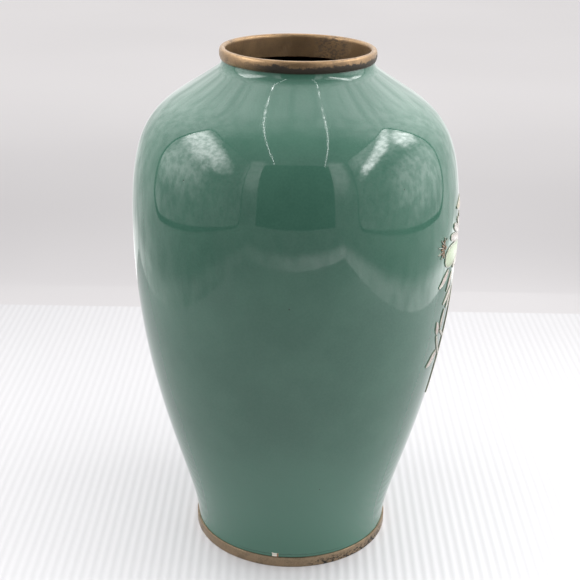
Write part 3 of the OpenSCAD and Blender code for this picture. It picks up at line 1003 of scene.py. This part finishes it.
@dataclass
class Spray:
    """The raised flowering spray. Rows are degrees round the vase and millimetres up it."""

    outline: Outline
    open_bloom: Fan = Fan((5.5, 146), 8, 11.2)
    open_front: Fan = Fan((5.5, 146), 18, 11.2)
    open_throat: Fan = Fan((5.5, 146), 24, 3.4)
    full_bloom: Fan = Fan((33, 170), 20, 5.6)
    open_petals: tuple = ((191, 30), (165, 38), (157, 35), (149, 29), (141, 23), (133, 19.5),
                          (125, 17.5), (117, 16), (109, 15), (101, 14.3), (93, 14), (85, 14.2),
                          (77, 14.6), (69, 15.2), (61, 15.8), (53, 16.5), (45, 17), (37, 17.5),
                          (29, 17.5))
    full_petals: tuple = tuple((20 * index + 10, 15.5 - index % 2) for index in range(18))
    long_throat: tuple = ((178, 42.3),)
    short_throat: tuple = tuple((24 * index + 36, 9.6) for index in range(7))
    buds: tuple = (((3.4, 163.2), (-16.3, 166.4), 2.8, 0.6), ((14.5, 175.2), (9.5, 192), 2.5, 0.9),
                   ((50.5, 148.6), (62, 157.5), 2.4, 1))
    leaves: tuple = (
        ((-24, 141.1), (-31, 135.6), 1.3, -0.4), ((-18.8, 138.2), (-23.4, 131.2), 1.2, -0.3),
        ((-17.4, 130.4), (-25, 125.6), 1.1, -0.3), ((-16.6, 126.6), (-20.6, 122.2), 0.9, -0.2),
        ((-23.6, 113.8), (-22.6, 122), 1, -0.4), ((-26.4, 111.8), (-28.6, 118.2), 1.4, 0.3),
        ((-22.8, 101.8), (-30.4, 97.2), 1.9, -0.5), ((1.2, 128.9), (22.6, 124.4), 2.2, -1.8),
        ((-9, 117.6), (12, 113.5), 2.2, -1.8), ((-12.6, 104.6), (9, 101.5), 2.4, -1.8),
        ((-14.2, 91.8), (6, 87), 2.3, -1.6), ((28, 128.6), (44.5, 121.6), 2.1, -1.5),
        ((33, 134.8), (41, 148), 1.8, 1.2))
    cups: tuple = (((10.8, 140), (6.6, 145), 2.1, 0), ((8.4, 161.7), (4, 162.9), 1.1, 0),
                   ((15.7, 171), (14.9, 173.8), 1.2, 0), ((48, 145.4), (50, 148), 1.2, 0))
    stems: tuple = (
        ((-17, 77.5), (-15.5, 98), (-17, 126), (10.6, 138.3), 0.55),
        ((-17.8, 98.4), (-19.5, 100.4), (-24, 105.5), (-26.2, 110.4), 0.45),
        ((-15.8, 106.3), (-18.5, 108.4), (-21.5, 110.4), (-23.3, 112.4), 0.35),
        ((10, 134.6), (19, 133.4), (29, 140), (31.7, 153), 0.5),
        ((19.6, 133.2), (27, 129.6), (43, 131), (47.3, 144), 0.35),
        ((26.6, 146.4), (25, 156), (18, 161.5), (9.3, 161.9), 0.35),
        ((18.8, 161), (17, 163), (16.2, 166.6), (15.9, 169.9), 0.35))
    side_heart: tuple = ((-28.8, 153.2), (120, 150, 180, 210, 240), 1.4, 4.4, 0.6)
    full_heart: tuple = ((33, 170), tuple(36 * index for index in range(10)), 1.5, 4.6, 0.6)
    boss: float = 1.05
    spikes: tuple = ((75, 4.2), (105, 5.4), (135, 6.4), (165, 7.2), (195, 6.8), (225, 5.8),
                     (255, 4.6))
    spike_start: float = 3.1
    petal_gap: float = 0.1 * MM
    kinds: tuple[Kind, ...] = (
        Kind("petals", "petal", "petal_enamel", CellEnamel(
            "petal_glass", linear(138, 121, 114), linear(148, 142, 136), linear(104, 95, 88))),
        Kind("inner_petals", "throat", "cream_enamel", CellEnamel(
            "inner_petal_glass", linear(122, 138, 104), linear(142, 155, 127),
            linear(98, 108, 84))),
        Kind("buds", "bud", "tan_enamel", CellEnamel(
            "bud_glass", linear(130, 112, 86), linear(152, 140, 115), linear(104, 90, 70))),
        Kind("leaves", "leaf", "leaf_enamel", CellEnamel(
            "leaf_glass", linear(150, 133, 126), linear(164, 154, 148), linear(112, 102, 95))),
        Kind("cups", "calyx", "moss_enamel", CellEnamel(
            "cup_glass", linear(62, 74, 40), linear(102, 112, 68), linear(52, 60, 34))),
        Kind("stems", "stem", "stem_enamel", CellEnamel(
            "stem_glass", linear(138, 134, 120), linear(164, 162, 150), linear(110, 106, 94)),
            4, 60))
    hearts: Kind = Kind("hearts", "stamen", "amber_enamel", CellEnamel(
        "heart_glass", linear(82, 66, 48), linear(114, 92, 68), linear(64, 52, 40)), 6, 14)

    def __post_init__(self) -> None:
        """Prepares the mesh builder."""
        self.maker = CellMesh(self.outline)

    def build(self) -> None:
        """Makes the enamel and the wires of every kind of cell."""
        silver = SilverWire().material()
        cells = {
            "petals": self._fan(self.open_bloom, self.open_petals)
            + self._fan(self.full_bloom, self.full_petals),
            "inner_petals": self._fan(self.open_front, self.long_throat)
            + self._fan(self.open_throat, self.short_throat),
            "buds": self._rows(self.buds, self._leaf_width),
            "leaves": self._rows(self.leaves, self._leaf_width),
            "cups": self._rows(self.cups, self._cup_width),
            "stems": [self._stem(row) for row in self.stems]}
        for kind in self.kinds:
            self._glass(kind, cells[kind.name])
            make_piece(self.maker.wires(cells[kind.name], kind.along), f"{kind.name}_wires",
                       silver, "silver_wire", f"{kind.node}_wires")
        self._glass(self.hearts, self._heart(self.side_heart) + self._heart(self.full_heart))
        self._spikes(silver)

    def _glass(self, kind: Kind, cells: Sequence[Cell]) -> None:
        """Makes the enamel of a kind of cell."""
        make_piece(self.maker.glass(cells, kind.across, kind.along), f"{kind.name}_glass",
                   kind.finish.material(), kind.slot, f"{kind.node}_enamel")

    def _spikes(self, silver: Material) -> None:
        """Makes the bare wires that stand out from the side bloom's heart."""
        half = self.maker.wire_w / 2
        rays = [Cell(self._ray(self.side_heart[0], angle, self.spike_start, reach),
                     lambda share: half * (1 - 0.4 * share ** 4)) for angle, reach in self.spikes]
        spikes = self.maker.glass(rays, 4, 8, self.maker.wire_h)
        level = spikes.verts.layers.float.new(CellMesh.LIFT_NAME)
        for vertex in spikes.verts:
            vertex[level] = 1.0
        make_piece(spikes, "heart_wires", silver, "silver_wire", "stamen_wires")

    def _flat(self, place: Sequence[float]) -> Vector:
        """Lays a row's place out on the unrolled face, in metres."""
        return Vector((math.radians(place[0]) * self.outline.belly_radius, place[1] * MM))

    def _ray(self, middle: Sequence[float], angle: float, start: float, end: float) -> Curve:
        """Gives the straight line that leaves a middle at an angle."""
        way = Vector((math.cos(math.radians(angle)), math.sin(math.radians(angle)))) * MM
        return Curve(tuple(self._flat(middle) + way * (start + (end - start) * third / 3)
                           for third in range(4)))

    def _fan(self, fan: Fan, petals: Sequence[tuple[float, float]]) -> list[Cell]:
        """Makes the petals of a bloom, each as wide as its neighbours leave it.

        Args:
            fan: the bloom.
            petals: each petal's direction and reach.

        Returns:
            The petals' cells.
        """
        room = math.tan(math.radians(fan.spread / 2))
        spare = self.maker.wire_w + self.petal_gap / 2

        def width_to(reach: float) -> Width:
            """Gives the width along a petal of that reach."""
            def width(share: float) -> float:
                """Half width at a share of the petal, rounded off at its tip."""
                tip = max(0.0, (share - 0.6) / 0.4)
                along = (fan.start + (reach - fan.start) * share) * MM
                return (along * room - spare) * math.sqrt(1 - 0.96 * tip ** 2)
            return width

        return [Cell(self._ray(fan.middle, angle, fan.start, reach), width_to(reach))
                for angle, reach in petals]

    def _rows(self, rows: Sequence[tuple], width: Callable[[float], Width]) -> list[Cell]:
        """Makes bowed cells from rows of base, tip, half width and bow."""
        cells = []
        for base, tip, half, bow in rows:
            a, b = self._flat(base), self._flat(tip)
            way = (b - a).normalized()
            out = Vector((way.y, -way.x)) * bow * MM * 4 / 3
            line = Curve((a, a + (b - a) / 3 + out, a + (b - a) * 2 / 3 + out, b))
            cells.append(Cell(line, width(half * MM)))
        return cells

    def _stem(self, row: Sequence) -> Cell:
        """Makes a stem's cell, even in width with short rounded ends."""
        half = row[4] * MM
        return Cell(Curve(tuple(self._flat(place) for place in row[:4])),
                    lambda share: half * (0.6 + 0.4 * min(1, 8 * share, 8 * (1 - share))))

    def _heart(self, heart: Sequence) -> list[Cell]:
        """Makes the pointed lobes of a bloom's heart, and the round boss between them."""
        middle, angles, start, end, half = heart
        boss = Cell(self._ray(middle, 0, -self.boss, self.boss),
                    lambda share: self.boss * MM * max(0.3, math.sin(math.pi * share)))
        return [boss] + [Cell(self._ray(middle, angle, start, end), self._leaf_width(half * MM))
                         for angle in angles]

    @staticmethod
    def _leaf_width(half: float) -> Width:
        """Gives a pointed leaf's half width."""
        return lambda share: half * (0.12 + 0.88 * math.sin(math.pi * share ** 0.85))

    @staticmethod
    def _cup_width(half: float) -> Width:
        """Gives a cup's half width, open at its tip."""
        return lambda share: half * (0.45 + 0.55 * math.sin(math.radians(160) * share))


# ---- The studio ------------------------------------------------------------------------------


class Facing(Enum):
    """Which way a card faces, as the turns that bring a level grid there."""

    UP = (0.0, 0.0, 0.0)
    DOWN = (math.pi, 0.0, 0.0)
    ALONG_X = (0.0, math.pi / 2, 0.0)
    ALONG_Y = (math.pi / 2, 0.0, 0.0)


@dataclass(frozen=True)
class Glow:
    """A soft bright patch on a card: its middle, its half sizes, its slope and its strength."""

    y: float
    z: float
    half_y: float
    half_z: float
    slope: float
    strength: float


@dataclass(frozen=True)
class Fabric:
    """How bright the tent's fabric is: where each lit part begins and ends, in metres."""

    back: Span = (-0.15, 0.14)
    back_rise: Span = (0.15, 0.5)
    beside: Span = (0.38, 0.46)
    beside_out: Span = (0.18, 0.24)
    beside_rise: Span = (0.2, 0.42)
    hem: Span = (0.05, 0.02)
    hem_side: Span = (-0.3, 0.3)

    def light(self, shader: Shader) -> Link:
        """Gives its strength: dim in front, and lit at its back, its top and its hem."""
        x, y, z = shader.axes()
        back = y.rise(*self.back) * (z.rise(*self.back_rise) * 1.4 + 0.6)
        beside = (y * -1).rise(*self.beside) * abs(x).rise(*self.beside_out)
        hem = z.rise(*self.hem) * (x.rise(*self.hem_side) * 0.8 + 0.4)
        total = back + beside * z.rise(*self.beside_rise) * 1.2 + hem + 0.45
        return total * (x * 0.35 + 1.0)


@dataclass
class Studio:
    """A light tent round the vase, a ribbed mat, the camera and the lights."""

    half_width: float = 0.30
    back: float = 0.30
    front: float = -0.50
    top: float = 0.60
    opening_w: float = 0.456
    opening_low: float = 0.11
    mat_back: float = 0.259
    mat_front: float = -1.2
    mat_w: float = 2.4
    floor_w: float = 8.0
    rib_pitch: float = 4.4 * MM
    piping_w: float = 10 * MM
    cloth_corner: float = 40 * MM
    lamp_rows: tuple = (("lamps_left", (-0.125, -0.20), -4.8), ("lamps_right", (0.14, -0.22), 12.0))
    lamp_pitch: float = 17 * MM
    lamp_glow: float = 30.0
    strip_glow: float = 2.0
    strip_size: Span = (3 * MM, 560 * MM)
    softboxes: tuple = (
        ("lamp_left", (-0.20, 0.0, 0.42), (0.10, 0.30), 1.3, (0, 0, 0)),
        ("lamp_right", (0.20, 0.0, 0.42), (0.10, 0.30), 1.4, (0, 0, 0)),
        ("cloth_left", (-0.30, -0.10, 0.20), (0.40, 0.50), 0.5, (0, -math.pi / 2, 0)),
        ("cloth_right", (0.30, -0.10, 0.20), (0.40, 0.50), 1.05, (0, math.pi / 2, 0)))
    air_glow: float = 0.68
    fabric: Fabric = Fabric()
    lens_mm: float = 72.81
    lens_shift: float = -0.0349
    camera_place: tuple[float, float, float] = (0.0, -0.49862, 0.31999)
    camera_angles: tuple[float, float, float] = (-0.8365, 68.0555, 1.2675)
    cloth_span: Span = (0.10, 0.573)
    left_reach: Span = (-0.44, 0.067)
    right_reach: Span = (-0.37, 0.12)
    left_glows: tuple[Glow, ...] = (
        Glow(-0.06, 0.42, 0.22, 0.105, 0.2, 6.8), Glow(-0.05, 0.26, 0.14, 0.09, 0.0, 1.8))
    right_glows: tuple[Glow, ...] = (
        Glow(-0.08, 0.465, 0.22, 0.05, 0.5, 7.5), Glow(0.06, 0.42, 0.07, 0.08, 0.3, 8.0),
        Glow(-0.24, 0.39, 0.06, 0.04, 0.2, 4.5), Glow(-0.15, 0.48, 0.22, 0.12, 0.0, 1.6),
        Glow(-0.03, 0.23, 0.14, 0.10, 0.0, 1.7))

    def build(self) -> None:
        """Makes the stage, the lights and the camera."""
        self._floor()
        self._mat()
        self._tent()
        self._lights()
        self._camera()

    def _card(self, name: str, facing: Facing, centre: Sequence[float], size: Sequence[float],
              material: Material, mirrored_only: bool = True, turn: float = 0.0,
              corner: float = 0.0) -> None:
        """Makes a flat card of the stage.

        Args:
            name: its name.
            facing: which way it faces.
            centre: its middle.
            size: its two sizes before it is turned.
            material: what it is made of.
            mirrored_only: True if only the vase's gloss sees it.
            turn: its turn about the upright, in radians.
            corner: the radius of its corners.
        """
        mesh = bmesh.new()
        place = (Matrix.Translation(centre) @ Matrix.Rotation(turn, 4, "Z")
                 @ Euler(facing.value).to_matrix().to_4x4())
        stretch = Matrix.Diagonal((size[0] / 2, size[1] / 2, 1, 1))
        bmesh.ops.create_grid(mesh, x_segments=1, y_segments=1, size=1, matrix=place @ stretch)
        if corner:
            bmesh.ops.bevel(mesh, geom=mesh.verts[:], offset=corner, offset_type="OFFSET",
                            affect="VERTICES", segments=8, profile=0.5, material=-1)
        card = shown(name, as_data(mesh, name, material))
        if mirrored_only:
            card.visible_camera = card.visible_diffuse = card.visible_shadow = False
            card.visible_transmission = card.visible_volume_scatter = False

    def _floor(self) -> None:
        """Lays the plain pale floor, just under the mat; it is painted lighter towards the back and
        glows faintly, both painted light.
        """
        shader = Shader("pale_floor")
        _, y, _ = shader.axes()
        clouds = shader.noise(0.6, 2, contrast=(0.3, 0.7))
        # Painted light: the colour grows lighter towards the back, with faint clouds.
        painted_far_light = y.rise(self.mat_back, 4 * self.mat_back) * 0.9 + clouds * 0.1
        # The floor glows faintly: painted light.
        shader.set(Base_Color=shader.mix(painted_far_light, linear(180, 177, 178), linear(252, 249, 249)),
                   Roughness=0.9, Emission_Color=STUDIO_WHITE, Emission_Strength=0.1)
        self._card("floor", Facing.UP, (0, 0, -0.6 * MM), (self.floor_w, self.floor_w),
                   shader.material, False)

    def _mat(self) -> None:
        """Lays the white mat, whose fine ribs run from front to back."""
        shader = Shader("ribbed_mat")
        x, _, _ = shader.axes()
        ribs = x.wave(self.rib_pitch) * 0.5 + 0.5
        # The rib crests are painted a little lighter than the grooves: painted shade.
        shader.set(Base_Color=shader.mix(ribs, linear(197, 196, 198), linear(204, 203, 205)),
                   Roughness=0.55, Normal=shader.bump(ribs, 0.16 * MM))
        self._card("mat", Facing.UP, (0, (self.mat_back + self.mat_front) / 2, -0.02 * MM),
                   (self.mat_w, self.mat_back - self.mat_front), shader.material, False)

    def _glowing(self, name: str, strength: float) -> Material:
        """Makes a card's even glow."""
        shader = Shader(name, emission_only=True)
        shader.set(Color=PLAIN_WHITE, Strength=strength)
        return shader.material

    def _wall(self) -> Material:
        """Makes the tent's own fabric."""
        shader = Shader("tent_fabric", emission_only=True)
        creases = shader.noise(0.05, 3, contrast=(0.3, 0.7))
        shader.set(Color=PLAIN_WHITE, Strength=self.fabric.light(shader) * (creases * 0.4 + 0.8))
        return shader.material

    def _cloth(self, name: str, glows: Sequence[Glow]) -> Material:
        """Makes a lit side cloth with soft folds and fine creases.

        Args:
            name: the material's name.
            glows: its bright patches.

        Returns:
            The material.
        """
        shader = Shader(name, emission_only=True)
        _, y, z = shader.axes()
        folds = shader.noise(0.06, 3, shader.stretched((1, 1, 1.6))) * 0.07 - 0.035
        creases = shader.noise(0.028, 5, shader.stretched((1, 1.4, 1)), contrast=(0.35, 0.65))
        total = self.fabric.light(shader) + 0.12
        for glow in glows:
            high = z - glow.z - (y - glow.y) * glow.slope + folds
            wide = y - glow.y + folds
            gap = ((wide / glow.half_y) ** 2.0 + (high / glow.half_z) ** 2.0) ** 0.5
            total = total + gap.rise(1.25, 0.35) * glow.strength
        shader.set(Color=PLAIN_WHITE, Strength=total * (creases * 0.6 + 0.7))
        return shader.material

    def _tent(self) -> None:
        """Hangs the tent that the gloss mirrors: walls, side cloths, opening and ceiling."""
        wide, depth = self.half_width, self.back - self.front
        middle_y, middle_z = (self.back + self.front) / 2, self.top / 2
        wall = self._wall()
        dark = self._glowing("tent_opening", 0.02)
        seam = self._glowing("tent_piping", 0.06)
        self._card("tent_roof", Facing.DOWN, (0, middle_y, self.top), (2 * wide, depth), wall)
        for name, y in (("back", self.back), ("front", self.front)):
            self._card(f"tent_{name}", Facing.ALONG_Y, (0, y, middle_z), (2 * wide, self.top), wall)
        opening_z = (self.opening_low + self.top) / 2
        self._card("tent_opening", Facing.ALONG_Y, (0, self.front + 2 * MM, opening_z),
                   (self.opening_w, self.top - self.opening_low), dark)
        low, high = self.cloth_span
        tall, border, corner = high - low, 2 * self.piping_w, self.cloth_corner
        for name, side, glows, reach in (("left", -1, self.left_glows, self.left_reach),
                                         ("right", 1, self.right_glows, self.right_reach)):
            long, middle = reach[1] - reach[0], (sum(reach) / 2, (low + high) / 2)
            cloth = self._cloth(f"{name}_cloth", glows)
            self._card(f"tent_{name}", Facing.ALONG_X, (side * wide, middle_y, middle_z),
                       (self.top, depth), wall)
            self._card(f"piping_{name}", Facing.ALONG_X, (side * (wide - 1 * MM), *middle),
                       (tall, long), seam, corner=corner + self.piping_w)
            self._card(f"cloth_{name}", Facing.ALONG_X, (side * (wide - 2 * MM), *middle),
                       (tall - border, long - border), cloth, corner=corner)

    def _lights(self) -> None:
        """Hangs the two strips of small lamps, the four soft lamps and the even air."""
        shader = Shader("lamp_row", emission_only=True)
        _, y, _ = shader.axes()
        dots = y.wave(self.lamp_pitch).rise(-0.2, 0.9)
        shader.set(Color=PLAIN_WHITE, Strength=dots * self.lamp_glow + self.strip_glow)
        for name, (x, y), turn in self.lamp_rows:
            self._card(name, Facing.DOWN, (x, y, self.top - 5 * MM), self.strip_size,
                       shader.material, turn=math.radians(turn))
        for name, place, size, power, facing in self.softboxes:
            lamp = bpy.data.lights.new(name, "AREA")
            lamp.shape, lamp.size, lamp.size_y, lamp.energy = "RECTANGLE", *size, power
            soft = shown(name, lamp)
            soft.location, soft.rotation_euler = place, facing
            soft.visible_glossy = soft.visible_camera = False
        world = bpy.data.worlds.new("studio_air")
        world.use_nodes = True
        air = world.node_tree.nodes["Background"].inputs
        air["Color"].default_value, air["Strength"].default_value = STUDIO_WHITE, self.air_glow
        bpy.context.scene.world = world

    def _camera(self) -> None:
        """Stands the camera in the tent's opening, a little above the mouth, looking down."""
        lens = bpy.data.cameras.new("camera")
        lens.sensor_width, lens.lens, lens.shift_x = 36.0, self.lens_mm, self.lens_shift
        lens.dof.use_dof = False
        lens.clip_start, lens.clip_end = 0.01, 20.0
        camera = shown("camera", lens)
        turn, tilt, roll = (math.radians(angle) for angle in self.camera_angles)
        facing = (Matrix.Rotation(turn, 3, "Z") @ Matrix.Rotation(tilt, 3, "X")
                  @ Matrix.Rotation(roll, 3, "Z"))
        camera.location, camera.rotation_euler = self.camera_place, facing.to_euler()
        bpy.context.scene.camera = camera


def main() -> None:
    """Builds the vase round its frame, then the studio."""
    logging.basicConfig(level=logging.INFO, format="%(name)s: %(message)s")
    bpy.context.scene.view_settings.view_transform = "Standard"
    outline = Outline()
    Vessel(outline).build()
    MouthRim().build()
    FootRing().build()
    Spray(outline).build()
    Studio().build()


if __name__ == "__main__":
    main()
